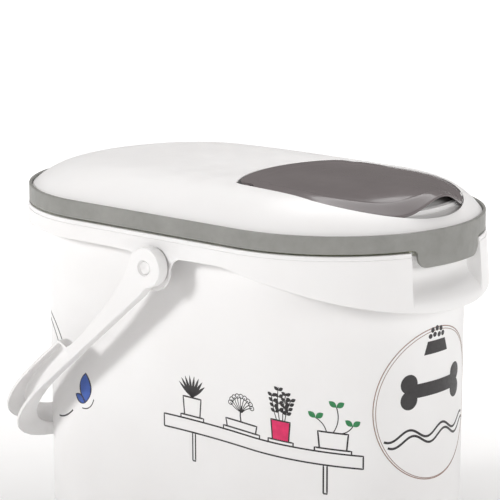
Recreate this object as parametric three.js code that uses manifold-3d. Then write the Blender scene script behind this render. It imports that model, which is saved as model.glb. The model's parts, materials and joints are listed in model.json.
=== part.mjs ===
// Pet food bin: an oblong bucket with a collar round its mouth, a hinged lid with a
// flap over its pouring mouth, and a carrying handle that swings over the lid.
//
// Millimetres, +Z up. The origin is the centre of the base, X runs along the bin and
// +X is the front, where the flap opens and the lid's tab hangs.
//
// Every outline seen from above is an oblong with round ends: all points at one
// distance r from a straight spine on the X axis, from -SPINE to +SPINE.
import * as THREE from 'three';
import { mergeVertices } from 'three/addons/utils/BufferGeometryUtils.js';
import Module from 'manifold-3d';

const wasm = await Module();
wasm.setup();

// ---- driving dimensions ----
const SPINE = 100;              // half length of the spine shared by all outlines
const RIM_Z = 378;              // underside of the lid's rim above the floor
const GAP = 0.3;                // play between pieces that touch

const BUCKET_R = 122;           // outside of the bucket below the collar
const BUCKET_BASE_R = 118.5;    // outside of the bucket above its rounded foot
const BUCKET_WALL = 2.5;
const FOOT_ROUND = 14;          // radius between the base and the wall
const LIP_R = 129.5;            // outside of the bucket's turned-out lip
const LIP_TOP = 6;              // heights from here on are above RIM_Z
const LIP_UNDER = 3.5;

const RIM_R = 140;              // outside of the lid's rim
const RIM_TOP = 16.8;
const RIM_WALL = 2.8;
const RIM_LEDGE_R = 129;        // inner edge of the ledge that carries the lid shell
const RIM_LEDGE = [8.2, 10.4];  // underside and top of that ledge
const TAB_HALF = 44;            // half width of the tab at the front
const TAB_DROP = 17;
const TAB_ROUND = 10;
const TAB_ROOT = 5;             // hollow corner where the tab leaves the rim

const COLLAR_TOP = -1.6;
const COLLAR_R = 140.4;         // outside of the collar's top band
const COLLAR_STEP = 0.5;        // the skirt stands this far outside the band
const COLLAR_WALL = 2.6;
const BAND_LOW = -5.9;          // where the top band steps out to the skirt
const HOOK_LOW = -7;            // lower end of the hook that hugs the bucket
const SKIRT_SIDE = -20;         // lower edge of the skirt along the rear and sides
const SKIRT_FRONT = -58.5;      // and at the front
const SKIRT_FLARE = 3.4;        // outward lean of the skirt at the front
const SKIRT_DIP_FROM = 80;      // X where the lower edge starts to dip
const SKIRT_DIP_POWER = 1.3;    // how gently the dip sets in
const SKIRT_SWELL = 2.4;        // swelling of the skirt's sides round the lugs
const NOTCH = [-51, 46];        // ends of the notch that takes the tab, across the bin
const NOTCH_DEEP = 9.2;         // how far the notch sinks behind the skirt, beside the lip
const NOTCH_DEEPER = 4.3;       // and how much further below the lip
const NOTCH_FLOOR = [-27, -51]; // heights where its back starts and ends its run out

const PIVOT_X = 5;              // the handle's pivot
const PIVOT_Z = -30;
const LUG_HALF = 19.5;
const LUG_Z = -34;              // centre of the lug's round end
const LUG_FILLET = 14;
const LUG_FACE = 144.5;         // half width over the lugs' outer faces

const HANDLE_IN = 144.8;        // half width between the handle's arms
const HANDLE_OUT = 156.8;       // and over them
const HANDLE_TILT = 40.1;       // degrees that the handle hangs below horizontal
const HANDLE_LOW = -16.7;       // lower and upper faces of the grip, square to its arms
const HANDLE_HIGH = 7.3;
const GRIP_FROM = 134;          // distances from the pivot along the arms
const ARCH_IN = [160, 309];     // start and crown of the arch, inside
const ARCH_OUT = [178, 335];    // and outside
const GRIP_SKIN = 3.2;
const GRIP_ROUND = 8;           // corner where the arms widen into the grip
const ARM_NECK = -5.7;          // upper face of the arms just before the grip
const EYE_R = 19;
const PIN_R = 4;
const PIN_HEAD_R = 6;
const PIN_HEAD = 4;             // depth of the pin's head

const DOME_R = 137;             // outside of the lid shell
const DOME_EDGE = 13.8;         // height of the dome at its edge
const DOME_RISE = 30.8;
const DOME_POWER = 6;           // how square the dome's shoulder is
const DOME_FALL = 0.06;         // share of its height that the dome loses at the rear of the spine
const SHELL = 3;

const MOUTH_FRONT = 141;        // centre of the recess's round front
const MOUTH_FRONT_R = 86.5;
const MOUTH_HALF = 80;          // half width at the flap's hinge
const MOUTH_REAR = 24.5;        // rear of the recess on the centre line
const MOUTH_REAR_R = 140;
const RECESS = 4.6;             // ledge of the recess below the dome
const TRAY = 7.4;               // underside of that ledge below the dome
const PLUG_LOW = -2;            // lower edge of the rib that plugs the bucket's mouth
const SPOUT_REAR = 50;          // the pouring mouth
const SPOUT_FRONT = 186;
const SPOUT_HALF = 66;
const SPOUT_ROUND = 30;
const FLAP_AXIS_X = 57;
const FLAP_AXIS_Z = 37.3;
const FLAP_RISE = 7.4;          // most that the flap's rear edge stands above its axis
const FLAP_THICK = 2.4;
const FLAP_PLAY = 1;
const FLAP_TOP = 45.2;          // height of the flap's raised finger wave
const WAVE_HALF = 54;
const POCKET_R = 34.8;          // hollow that the flap's rear edge swings down into
const EAR_R = 5;
const EAR_OUT = 77.6;           // half width over the flap's hinge ears

const HINGE_X = -246;           // the lid's hinge
const HINGE_R = 5;
const HINGE_PIN_R = 2.5;        // pins of the lid and of the flap
const KNUCKLE_SPLIT = 13.7;     // half width of the hinge's middle knuckle
const KNUCKLE_END = 26.3;

// ---- materials ----
const plastic = (color, roughness) => new THREE.MeshStandardMaterial({ color, roughness, metalness: 0 });
const WHITE = () => plastic(0xf3f2f1, 0.38);
const GREY = () => plastic(0x8b8d8e, 0.45);
const OLIVE = () => plastic(0x7f8a3c, 0.7);
const SMOKE = () => plastic(0x7b7677, 0.12);
const STEEL = () => new THREE.MeshStandardMaterial({ color: 0xb4b6b8, roughness: 0.3, metalness: 1 });

// ---- helpers ----
const smooth = (from, to, value) => THREE.MathUtils.smoothstep((value - from) / (to - from), 0, 1);

// Joins rings of the same count into one closed skin. Rings that don't wrap round to
// the first one are capped at both ends.
function skin(rings, wrap) {
  const count = rings[0].length;
  const points = rings.flat();
  const faces = [];
  const steps = wrap ? rings.length : rings.length - 1;
  for (let k = 0; k < steps; k += 1) {
    const here = k * count;
    const next = ((k + 1) % rings.length) * count;
    for (let i = 0; i < count; i += 1) {
      const j = (i + 1) % count;
      faces.push(here + i, here + j, next + j, here + i, next + j, next + i);
    }
  }
  if (!wrap) {
    const cap = (start, flip) => {
      const centre = new THREE.Vector3();
      for (let i = 0; i < count; i += 1) centre.add(points[start + i]);
      points.push(centre.divideScalar(count));
      for (let i = 0; i < count; i += 1) {
        const j = (i + 1) % count;
        faces.push(points.length - 1, start + (flip ? j : i), start + (flip ? i : j));
      }
    };
    cap(0, true);
    cap((rings.length - 1) * count, false);
  }
  const geometry = new THREE.BufferGeometry().setFromPoints(points);
  geometry.setIndex(faces);
  return facingOut(geometry);
}

function facingOut(geometry) {
  const at = geometry.getAttribute('position');
  const index = geometry.getIndex().array;
  const [a, b, c] = [new THREE.Vector3(), new THREE.Vector3(), new THREE.Vector3()];
  let volume = 0;
  for (let i = 0; i < index.length; i += 3) {
    a.fromBufferAttribute(at, index[i]);
    b.fromBufferAttribute(at, index[i + 1]);
    c.fromBufferAttribute(at, index[i + 2]);
    volume += a.dot(b.cross(c));
  }
  if (volume < 0) {
    for (let i = 0; i < index.length; i += 3) [index[i + 1], index[i + 2]] = [index[i + 2], index[i + 1]];
  }
  return geometry;
}

function solid(geometry) {
  const bare = geometry.clone();
  bare.deleteAttribute('normal');
  bare.deleteAttribute('uv');
  const merged = mergeVertices(bare, 1e-4);
  return new wasm.Manifold(new wasm.Mesh({
    numProp: 3,
    vertProperties: new Float32Array(merged.getAttribute('position').array),
    triVerts: new Uint32Array(merged.getIndex().array),
  }));
}

function geometryOf(manifold) {
  const mesh = manifold.getMesh();
  const geometry = new THREE.BufferGeometry();
  geometry.setAttribute('position', new THREE.BufferAttribute(new Float32Array(mesh.vertProperties), 3));
  geometry.setIndex(Array.from(mesh.triVerts));
  return geometry;
}

// Places on the spine, each with its outward direction, anticlockwise from the rear of
// the -Y side. `sides` holds extra X values and `fronts` extra angles of the front end.
function stations({ sides = [], fronts = [], arc = 16, straight = 4 } = {}) {
  const even = (from, to, n) => Array.from({ length: n + 1 }, (_, i) => from + ((to - from) * i) / n);
  const along = [...new Set([...even(-SPINE, SPINE, straight), ...sides])].sort((p, q) => p - q);
  const front = [...new Set([...even(-90, 90, arc), ...fronts])].sort((p, q) => p - q).slice(1, -1);
  const rear = even(90, 270, arc).slice(1, -1);
  const round = (x, degrees) => {
    const angle = THREE.MathUtils.degToRad(degrees);
    return { x, nx: Math.cos(angle), ny: Math.sin(angle) };
  };
  return [
    ...along.map((x) => ({ x, nx: 0, ny: -1 })),
    ...front.map((degrees) => round(SPINE, degrees)),
    ...along.reverse().map((x) => ({ x, nx: 0, ny: 1 })),
    ...rear.map((degrees) => round(-SPINE, degrees)),
  ];
}

const place = (s, r, z) => new THREE.Vector3(s.x + s.nx * r, s.ny * r, RIM_Z + z);
const ring = (list, r, z) => list.map((s) => place(s, r, z));

// Sweeps a closed section, given as [r, z] pairs, round the spine.
const sweep = (list, section) => skin(section.map(([r, z]) => ring(list, r, z)), true);

// A plate over a plan outline, between two height functions of x and y.
function plate(outline, centre, top, bottom, shares) {
  const at = (share, height) => outline.map(([x, y]) => {
    const px = centre[0] + (x - centre[0]) * share;
    const py = centre[1] + (y - centre[1]) * share;
    return new THREE.Vector3(px, py, RIM_Z + height(px, py));
  });
  const upper = shares.map((share) => at(share, top));
  const lower = shares.map((share) => at(share, bottom)).reverse();
  return skin([...upper, ...lower], false);
}

// A cylinder along Y between two Y values; x and z are its axis, z above RIM_Z.
function rodAlongY(radius, from, to, x, z, sides = 24) {
  const geometry = new THREE.CylinderGeometry(radius, radius, Math.abs(to - from), sides);
  return geometry.translate(x, (from + to) / 2, RIM_Z + z);
}

function block(x, y, z) {
  const geometry = new THREE.BoxGeometry(x[1] - x[0], y[1] - y[0], z[1] - z[0]);
  return geometry.translate((x[0] + x[1]) / 2, (y[0] + y[1]) / 2, RIM_Z + (z[0] + z[1]) / 2);
}

// ---- bucket ----
function bucket() {
  const list = stations();
  const wallHeight = -8;
  const arc = (r, round, floor, steps) => Array.from({ length: steps + 1 }, (_, i) => {
    const angle = (Math.PI / 2) * (i / steps);
    return [r - round + round * Math.sin(angle), floor - RIM_Z + round * (1 - Math.cos(angle))];
  });
  const foot = arc(BUCKET_BASE_R, FOOT_ROUND, 0, 5);
  const heel = arc(BUCKET_BASE_R - BUCKET_WALL, FOOT_ROUND - BUCKET_WALL, BUCKET_WALL, 4).reverse();
  const profile = [
    ...foot,
    [BUCKET_R, wallHeight],
    [BUCKET_R, LIP_UNDER],
    [LIP_R, LIP_UNDER],
    [LIP_R, LIP_TOP - 0.6],
    [LIP_R - 0.6, LIP_TOP],
    [BUCKET_R - BUCKET_WALL, LIP_TOP],
    [BUCKET_R - BUCKET_WALL, wallHeight],
    ...heel,
  ];
  return skin(profile.map(([r, z]) => ring(list, r, z)), false);
}

// ---- collar ----
// Lower edge of the skirt: level at the rear, dipping towards the front, and dropping
// round a lug at each handle pivot.
function skirtEdge(s) {
  const x = s.x + s.nx * COLLAR_R;
  const share = Math.max(0, (x - SKIRT_DIP_FROM) / (SPINE + COLLAR_R - SKIRT_DIP_FROM));
  const edge = SKIRT_SIDE + (SKIRT_FRONT - SKIRT_SIDE) * share ** SKIRT_DIP_POWER;
  const away = Math.abs(x - PIVOT_X);
  if (s.nx !== 0 || away >= LUG_HALF + LUG_FILLET) return edge;
  if (away <= LUG_HALF) return LUG_Z - Math.sqrt(LUG_HALF ** 2 - away ** 2);
  return LUG_Z + Math.sqrt(LUG_FILLET ** 2 - (LUG_HALF + LUG_FILLET - away) ** 2);
}

function skirtRadius(s, z) {
  const x = s.x + s.nx * COLLAR_R;
  const front = smooth(SKIRT_DIP_FROM - 40, SPINE + COLLAR_R, x);
  const down = Math.min(1, (COLLAR_TOP - z) / (COLLAR_TOP - SKIRT_FRONT));
  const step = z > BAND_LOW + 0.1 ? 0 : COLLAR_STEP;
  const nearLug = s.nx === 0 ? smooth(60, 25, Math.abs(x - PIVOT_X)) : 0;
  const swell = SKIRT_SWELL * nearLug * smooth(BAND_LOW, SKIRT_SIDE, z);
  const plain = COLLAR_R + step + down * (1 + SKIRT_FLARE * front) + swell;
  const across = s.ny * COLLAR_R;
  if (s.nx <= 0 || across < NOTCH[0] || across > NOTCH[1]) return plain;
  const deep = NOTCH_DEEP + NOTCH_DEEPER * smooth(HOOK_LOW, 2 * HOOK_LOW, z);
  return plain - deep * smooth(NOTCH_FLOOR[1], NOTCH_FLOOR[0], z);
}

// Section of the collar at one station: a hook that lies under the bucket's lip, the
// top band, the step and the skirt that hangs clear of the bucket.
function collarSection(s) {
  const edge = skirtEdge(s);
  const edgeRound = 0.8;
  const onBucket = BUCKET_R + 0.4;
  const onLip = LIP_R + GAP;
  const underLip = LIP_UNDER - GAP;
  const shares = [0, 0.22, 0.45, 0.66, 0.85, 1];
  const skirt = shares.map((share) => BAND_LOW + (edge + edgeRound - BAND_LOW) * share);
  const outer = [COLLAR_TOP - edgeRound, BAND_LOW + 0.5, ...skirt].map((z) => [skirtRadius(s, z), z]);
  const inner = [edge, Math.max(-30, edge + 0.2), Math.max(-16, edge + 0.4), HOOK_LOW + COLLAR_WALL - 0.4]
    .map((z) => [skirtRadius(s, z) - COLLAR_WALL, z]);
  return [
    [onBucket, HOOK_LOW],
    [onBucket, underLip],
    [onLip, underLip],
    [onLip, COLLAR_TOP],
    [skirtRadius(s, COLLAR_TOP) - edgeRound, COLLAR_TOP],
    ...outer,
    [skirtRadius(s, edge) - edgeRound, edge],
    ...inner,
    [BUCKET_R + 3, HOOK_LOW + COLLAR_WALL - 0.4],
    [BUCKET_R + 3, HOOK_LOW],
  ];
}

function collar() {
  const lugSteps = [0, 7, 13, 17, 19, LUG_HALF, 20, 22.5, 27, LUG_HALF + LUG_FILLET];
  const sides = lugSteps.flatMap((step) => [PIVOT_X - step, PIVOT_X + step]);
  const ends = NOTCH.map((y) => THREE.MathUtils.radToDeg(Math.asin(y / COLLAR_R)));
  const fronts = ends.flatMap((angle) => [angle - 0.15, angle + 0.15]);
  const list = stations({ sides, fronts, arc: 20, straight: 2 });
  const sections = list.map(collarSection);
  const rings = sections[0].map((_, k) => list.map((s, i) => place(s, ...sections[i][k])));
  let body = solid(skin(rings, true));
  for (const side of [-1, 1]) {
    body = body.add(solid(rodAlongY(13, side * 137, side * LUG_FACE, PIVOT_X, PIVOT_Z, 32)));
    body = body.subtract(solid(rodAlongY(PIN_R + GAP, side * 130, side * 150, PIVOT_X, PIVOT_Z)));
  }
  const middle = [[-KNUCKLE_SPLIT, KNUCKLE_SPLIT]];
  const outside = [[-KNUCKLE_END, -KNUCKLE_SPLIT], [KNUCKLE_SPLIT, KNUCKLE_END]];
  return hingeHalf(body, middle, [-HINGE_R, -2.6], outside);
}

// Adds one half of the lid's hinge to a piece: knuckles on the hinge line, webs that
// tie them to the piece, and room for the other half's knuckles.
function hingeHalf(body, knuckles, webHeights, clear) {
  const webTo = -SPINE - RIM_R + RIM_WALL + 0.4;
  let piece = body;
  for (const [from, to] of clear) {
    piece = piece.subtract(solid(rodAlongY(HINGE_R + 2 * GAP, from - GAP, to + GAP, HINGE_X, 0)));
  }
  for (const [from, to] of knuckles) {
    const inset = [from + GAP, to - GAP];
    piece = piece.add(solid(rodAlongY(HINGE_R, ...inset, HINGE_X, 0)));
    piece = piece.add(solid(block([HINGE_X, webTo], inset, webHeights)));
  }
  return piece.subtract(solid(rodAlongY(HINGE_PIN_R + GAP, -40, 40, HINGE_X, 0)));
}

// ---- lid rim, seal and shell ----
// Lower edge of the rim: level, dropping at the front into a tab with round corners.
function rimEdge(s) {
  if (s.nx <= 0) return 0;
  const away = Math.abs(s.ny * RIM_R);
  const straight = TAB_HALF - TAB_ROUND;
  const root = TAB_HALF + TAB_ROOT;
  if (away <= straight) return -TAB_DROP;
  if (away >= root) return 0;
  if (away >= TAB_HALF) return Math.sqrt(TAB_ROOT ** 2 - (root - away) ** 2) - TAB_ROOT;
  return -TAB_DROP + TAB_ROUND - Math.sqrt(TAB_ROUND ** 2 - (away - straight) ** 2);
}

function lidRim() {
  const corners = [34, 37, 40, 42, 43.3, 43.9, 44.05, 44.8, 46.2, 49];
  const angles = corners.map((y) => THREE.MathUtils.radToDeg(Math.asin(y / RIM_R)));
  const list = stations({ fronts: angles.flatMap((angle) => [-angle, angle]) });
  const inside = RIM_R - RIM_WALL;
  const fixed = [
    [RIM_R, RIM_TOP - 1.4],
    [RIM_R - 1.2, RIM_TOP],
    [inside + GAP, RIM_TOP],
    [inside + GAP, RIM_LEDGE[1]],
    [RIM_LEDGE_R, RIM_LEDGE[1]],
    [RIM_LEDGE_R, RIM_LEDGE[0]],
    [inside, RIM_LEDGE[0]],
  ];
  const rings = [
    list.map((s) => place(s, inside, rimEdge(s))),
    list.map((s) => place(s, RIM_R, rimEdge(s))),
    ...fixed.map(([r, z]) => ring(list, r, z)),
  ];
  const middle = [[-KNUCKLE_SPLIT, KNUCKLE_SPLIT]];
  const outside = [[-KNUCKLE_END, -KNUCKLE_SPLIT], [KNUCKLE_SPLIT, KNUCKLE_END]];
  return hingeHalf(solid(skin(rings, true)), outside, [1, HINGE_R], middle);
}

// A soft lip that hangs under the rim's ledge and closes on the collar's top.
function lidSeal() {
  const top = RIM_LEDGE[0] - GAP;
  const low = COLLAR_TOP + 0.4;
  const [inside, outside] = [LIP_R + 1.9, RIM_R - RIM_WALL - 0.6];
  const section = [
    [inside, top], [inside, low + 1.6], [inside + 1, low],
    [outside - 1, low], [outside, low + 1.6], [outside, top],
  ];
  return sweep(stations(), section);
}

function dome(x, y) {
  const share = Math.hypot(Math.max(Math.abs(x) - SPINE, 0), y) / DOME_R;
  const crown = DOME_RISE * (1 - DOME_FALL * Math.max(0, -x / SPINE) ** 2);
  return DOME_EDGE + crown * (1 - Math.min(share, 1) ** DOME_POWER);
}

const rearOfMouth = (y, rear = MOUTH_REAR) => rear + MOUTH_REAR_R - Math.sqrt(MOUTH_REAR_R ** 2 - y ** 2);

// Plan outline of the flap's recess, grown by a margin. Its front is round, its sides
// run back to the hinge, and its rear is a shallow arc.
function mouthOutline(grow, steps = 18) {
  const radius = MOUTH_FRONT_R + grow;
  const half = MOUTH_HALF + grow;
  const rear = MOUTH_REAR - grow;
  const lean = Math.asin((radius - half) / (MOUTH_FRONT - FLAP_AXIS_X));
  const turn = Math.PI / 2 - lean / 2;
  const front = Array.from({ length: steps + 1 }, (_, i) => {
    const angle = -turn + (2 * turn * i) / steps;
    return [MOUTH_FRONT + radius * Math.cos(angle), radius * Math.sin(angle)];
  });
  const arc = Array.from({ length: 13 }, (_, i) => {
    const y = half * (1 - i / 6);
    return [rearOfMouth(y, rear), y];
  });
  const side = [[112, half + 4.4], [84, half + 2.2], [FLAP_AXIS_X, half]];
  return [...front, ...side, ...arc, ...side.map(([x, y]) => [x, -y]).reverse()];
}

const MOUTH_CENTRE = [118, 0];
const SHARES = [0.12, 0.4, 0.62, 0.78, 0.9, 1];

const under = (depth) => (x, y) => dome(x, y) - depth;
const level = (z) => () => z;

// The domed plate alone, of even thickness.
function domePlate(list) {
  const reach = [0.06, 0.4, 0.62, 0.76, 0.87, 0.94, 1];
  const shellRing = (share, depth) => list.map((s) => {
    const point = place(s, DOME_R * share, 0);
    point.z += dome(point.x, point.y) - depth;
    return point;
  });
  const upper = reach.map((share) => shellRing(share, 0));
  const lower = reach.map((share) => shellRing(share, SHELL)).reverse();
  return solid(skin([...upper, ...lower], false));
}

// The rib under the dome that plugs into the bucket's mouth.
function plugRib(list) {
  const [outside, inside] = [BUCKET_R - BUCKET_WALL - 1.2, BUCKET_R - BUCKET_WALL - 3.5];
  const inDome = (r) => list.map((s) => {
    const point = place(s, r, 0);
    point.z += dome(point.x, point.y) - SHELL / 2;
    return point;
  });
  const rings = [
    ring(list, outside, PLUG_LOW), ring(list, outside, 8), inDome(outside),
    inDome(inside), ring(list, inside, 8), ring(list, inside, PLUG_LOW),
  ];
  return solid(skin(rings, true));
}

function lidShell() {
  const list = stations();
  const trayOutline = mouthOutline(SHELL);
  const tray = solid(plate(trayOutline, MOUTH_CENTRE, under(SHELL / 2), under(TRAY), SHARES));
  const recess = solid(plate(mouthOutline(0), MOUTH_CENTRE, level(70), under(RECESS), SHARES));

  const drum = (radius) => solid(rodAlongY(radius, -90, 90, FLAP_AXIS_X, FLAP_AXIS_Z, 48))
    .intersect(solid(block([0, FLAP_AXIS_X + 9], [-100, 100], [-20, 90])));
  const pocketWall = drum(POCKET_R + SHELL)
    .intersect(solid(plate(trayOutline, MOUTH_CENTRE, under(SHELL / 2), level(-20), SHARES)));
  const pocket = drum(POCKET_R)
    .intersect(solid(plate(mouthOutline(0), MOUTH_CENTRE, level(80), level(-30), [0.5, 1])));

  let lid = domePlate(list).add(plugRib(list)).add(tray).add(pocketWall);
  lid = lid.subtract(recess).subtract(pocket).subtract(solid(spoutPrism()));
  for (const side of [-1, 1]) {
    const bore = rodAlongY(HINGE_PIN_R + GAP, side * 70, side * 86, FLAP_AXIS_X, FLAP_AXIS_Z);
    lid = lid.subtract(solid(bore));
  }
  return lid;
}

// The pouring mouth, cut down through the recess.
function spoutPrism() {
  const shape = new THREE.Shape();
  shape.moveTo(SPOUT_REAR, -SPOUT_HALF);
  shape.lineTo(SPOUT_FRONT - SPOUT_ROUND, -SPOUT_HALF);
  shape.absarc(SPOUT_FRONT - SPOUT_ROUND, SPOUT_ROUND - SPOUT_HALF, SPOUT_ROUND, -Math.PI / 2, 0, false);
  shape.absarc(SPOUT_FRONT - SPOUT_ROUND, SPOUT_HALF - SPOUT_ROUND, SPOUT_ROUND, 0, Math.PI / 2, false);
  shape.lineTo(SPOUT_REAR, SPOUT_HALF);
  shape.closePath();
  const geometry = new THREE.ExtrudeGeometry(shape, { depth: 110, bevelEnabled: false, curveSegments: 6 });
  return geometry.translate(0, 0, RIM_Z - 40);
}

// ---- flap ----
// The flap follows the dome, but its middle runs on level to the front edge, so that a
// wave stands over the recess for the fingers.
function flapTop(x, y) {
  const base = dome(x, y);
  const wave = Math.abs(y) < WAVE_HALF ? Math.cos((Math.PI / 2) * (y / WAVE_HALF)) ** 2 : 0;
  return base + (FLAP_TOP - base) * wave * smooth(FLAP_AXIS_X, MOUTH_FRONT, x);
}

// The flap's rear edge stands above its axis, so it swings rearward on its way down and
// needs more room the closer it is to the axis.
function flapOutline() {
  return mouthOutline(-FLAP_PLAY, 26).map(([x, y]) => {
    if (x >= FLAP_AXIS_X) return [x, y];
    const reach = FLAP_AXIS_X - rearOfMouth(y);
    return [FLAP_AXIS_X - Math.sqrt(reach ** 2 - FLAP_RISE ** 2) + FLAP_PLAY / 2, y];
  });
}

function flap() {
  const outline = flapOutline();
  const bottom = (x, y) => flapTop(x, y) - FLAP_THICK;
  const shares = [0.12, 0.4, 0.62, 0.76, 0.87, 0.95, 1];
  let body = solid(plate(outline, MOUTH_CENTRE, flapTop, bottom, shares));
  for (const side of [-1, 1]) {
    body = body.add(solid(rodAlongY(EAR_R, side * 71, side * EAR_OUT, FLAP_AXIS_X, FLAP_AXIS_Z)));
    body = body.subtract(solid(rodAlongY(HINGE_PIN_R + GAP, side * 60, side * 90, FLAP_AXIS_X, FLAP_AXIS_Z)));
  }
  return body;
}

// ---- handle ----
// Modelled flat: x runs from the pivot along the arms, y across the bin and z down, so
// that the named heights of its faces are taken with the opposite sign.
function archPlan(inside, outside, from) {
  const edge = ([start, crown], half) => {
    const steps = 20;
    return Array.from({ length: steps + 1 }, (_, i) => {
      const angle = Math.PI / 2 - (Math.PI * i) / steps;
      return new THREE.Vector2(start + (crown - start) * Math.cos(angle), half * Math.sin(angle));
    });
  };
  const outer = edge(outside.arch, outside.half);
  const inner = edge(inside.arch, inside.half).reverse();
  return new THREE.Shape([
    new THREE.Vector2(from, outside.half), ...outer, new THREE.Vector2(from, -outside.half),
    new THREE.Vector2(from, -inside.half), ...inner, new THREE.Vector2(from, inside.half),
  ]);
}

// Side view: a round eye, an arm that tapers on its upper side, and the deeper grip.
function handleSide() {
  const low = -HANDLE_LOW;
  const high = -HANDLE_HIGH;
  const neck = -ARM_NECK;
  const end = ARCH_OUT[1] + 5;
  const corner = GRIP_FROM + 2 + GRIP_ROUND;
  const leave = THREE.MathUtils.degToRad(52);
  const shape = new THREE.Shape();
  shape.absarc(0, 0, EYE_R, leave, THREE.MathUtils.degToRad(300), false);
  shape.quadraticCurveTo(40, 2, GRIP_FROM - 6, neck - 0.4);
  shape.quadraticCurveTo(GRIP_FROM, neck - 0.8, GRIP_FROM + 1, neck - 3.4);
  shape.absarc(corner, high + GRIP_ROUND, GRIP_ROUND, Math.PI, 1.5 * Math.PI, false);
  shape.lineTo(end, high);
  shape.lineTo(end, low);
  shape.lineTo(26, low);
  shape.quadraticCurveTo(18, low, EYE_R * Math.cos(leave), EYE_R * Math.sin(leave));
  return shape;
}

// The grip is a channel: a web on the inner side with a flange above and below it.
function gripHollow() {
  const plan = archPlan(
    { arch: [ARCH_IN[0], ARCH_IN[1] + GRIP_SKIN], half: HANDLE_IN + GRIP_SKIN },
    { arch: [ARCH_OUT[0], ARCH_OUT[1] + 30], half: HANDLE_OUT + 30 },
    GRIP_FROM + 4,
  );
  const depth = HANDLE_HIGH - HANDLE_LOW - 2 * GRIP_SKIN;
  const geometry = new THREE.ExtrudeGeometry(plan, { depth, bevelEnabled: false });
  return geometry.translate(0, 0, GRIP_SKIN - HANDLE_HIGH);
}

function handle() {
  const plan = archPlan({ arch: ARCH_IN, half: HANDLE_IN }, { arch: ARCH_OUT, half: HANDLE_OUT }, -EYE_R - 2);
  const slab = new THREE.ExtrudeGeometry(plan, { depth: 60, bevelEnabled: false }).translate(0, 0, -30);
  const settings = { depth: 400, bevelEnabled: false, curveSegments: 12 };
  const side = new THREE.ExtrudeGeometry(handleSide(), settings);
  side.rotateX(Math.PI / 2).translate(0, 200, 0);
  let body = solid(slab).intersect(solid(side)).subtract(solid(gripHollow()));
  for (const sign of [-1, 1]) {
    const hole = (radius, depth) => new THREE.CylinderGeometry(radius + GAP, radius + GAP, 2 * depth, 28)
      .translate(0, sign * HANDLE_OUT, 0);
    body = body.subtract(solid(hole(PIN_R, HANDLE_OUT - HANDLE_IN + 1)));
    body = body.subtract(solid(hole(PIN_HEAD_R, PIN_HEAD)));
  }
  return body;
}

// A pin through the handle's eye and the collar's lug, with a dished head outside and a
// snap flange inside. It is turned about its own axis, with the head at the top.
function handlePin() {
  const face = HANDLE_OUT - 1.2;
  const seat = HANDLE_OUT - PIN_HEAD + GAP;
  const lugInside = 137 - GAP;
  const flange = 2.6;
  const profile = [
    [0, face - 1.4],
    [PIN_HEAD_R / 2, face - 1.2],
    [PIN_HEAD_R - 1.4, face],
    [PIN_HEAD_R, face - 0.4],
    [PIN_HEAD_R, seat],
    [PIN_R, seat],
    [PIN_R, lugInside],
    [PIN_R + 1.6, lugInside],
    [PIN_R + 0.6, lugInside - flange],
    [0, lugInside - flange],
  ];
  return new THREE.LatheGeometry(profile.map(([r, y]) => new THREE.Vector2(r, y)).reverse(), 18);
}

// ---- assembly ----
const bin = new THREE.Group();

function add(name, shape, material, parent = bin) {
  const geometry = shape instanceof THREE.BufferGeometry ? shape : geometryOf(shape);
  const mesh = new THREE.Mesh(geometry, material);
  mesh.name = name;
  parent.add(mesh);
  return mesh;
}

add('bucket', bucket(), WHITE());
add('collar', collar(), WHITE());

const lid = new THREE.Group();
bin.add(lid);
add('lid_rim', lidRim(), GREY(), lid);
add('lid_shell', lidShell(), WHITE(), lid);
add('lid_seal', lidSeal(), OLIVE(), lid);
add('lid_hinge_pin', rodAlongY(HINGE_PIN_R, -KNUCKLE_END, KNUCKLE_END, HINGE_X, 0, 20), STEEL(), lid);

add('flap', flap(), SMOKE(), lid);
for (const [name, side] of [['flap_pin_right', -1], ['flap_pin_left', 1]]) {
  add(name, rodAlongY(HINGE_PIN_R, side * 71.6, side * 85, FLAP_AXIS_X, FLAP_AXIS_Z, 16), STEEL(), lid);
}

const bail = new THREE.Group();
bail.position.set(PIVOT_X, 0, RIM_Z + PIVOT_Z);
bail.rotation.y = THREE.MathUtils.degToRad(180 - HANDLE_TILT);
bin.add(bail);
add('handle', handle(), WHITE(), bail);
for (const [name, side] of [['handle_pin_right', -1], ['handle_pin_left', 1]]) {
  const pin = add(name, handlePin(), WHITE(), bin);
  pin.position.set(PIVOT_X, 0, RIM_Z + PIVOT_Z);
  if (side < 0) pin.rotation.z = Math.PI;
}

export default bin;
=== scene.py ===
import json
import math

import bpy
import numpy as np
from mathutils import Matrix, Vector


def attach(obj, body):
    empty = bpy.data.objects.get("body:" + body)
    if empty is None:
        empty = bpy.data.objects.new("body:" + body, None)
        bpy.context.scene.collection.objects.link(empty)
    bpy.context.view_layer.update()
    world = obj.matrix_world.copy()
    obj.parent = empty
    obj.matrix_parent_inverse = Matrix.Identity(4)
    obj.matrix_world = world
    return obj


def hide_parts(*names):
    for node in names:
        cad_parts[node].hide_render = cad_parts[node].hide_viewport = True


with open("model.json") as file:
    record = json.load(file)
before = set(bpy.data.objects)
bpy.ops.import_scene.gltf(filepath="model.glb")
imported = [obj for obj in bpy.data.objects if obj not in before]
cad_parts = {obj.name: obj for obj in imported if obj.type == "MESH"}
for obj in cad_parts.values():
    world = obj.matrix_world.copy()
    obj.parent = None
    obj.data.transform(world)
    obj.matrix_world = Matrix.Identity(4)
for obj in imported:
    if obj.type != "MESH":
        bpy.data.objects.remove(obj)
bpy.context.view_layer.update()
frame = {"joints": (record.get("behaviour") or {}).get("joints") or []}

MM = 0.001
PIVOTS = {j["name"]: np.array(j["pos_m"]) / MM for j in frame["joints"]}

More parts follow.
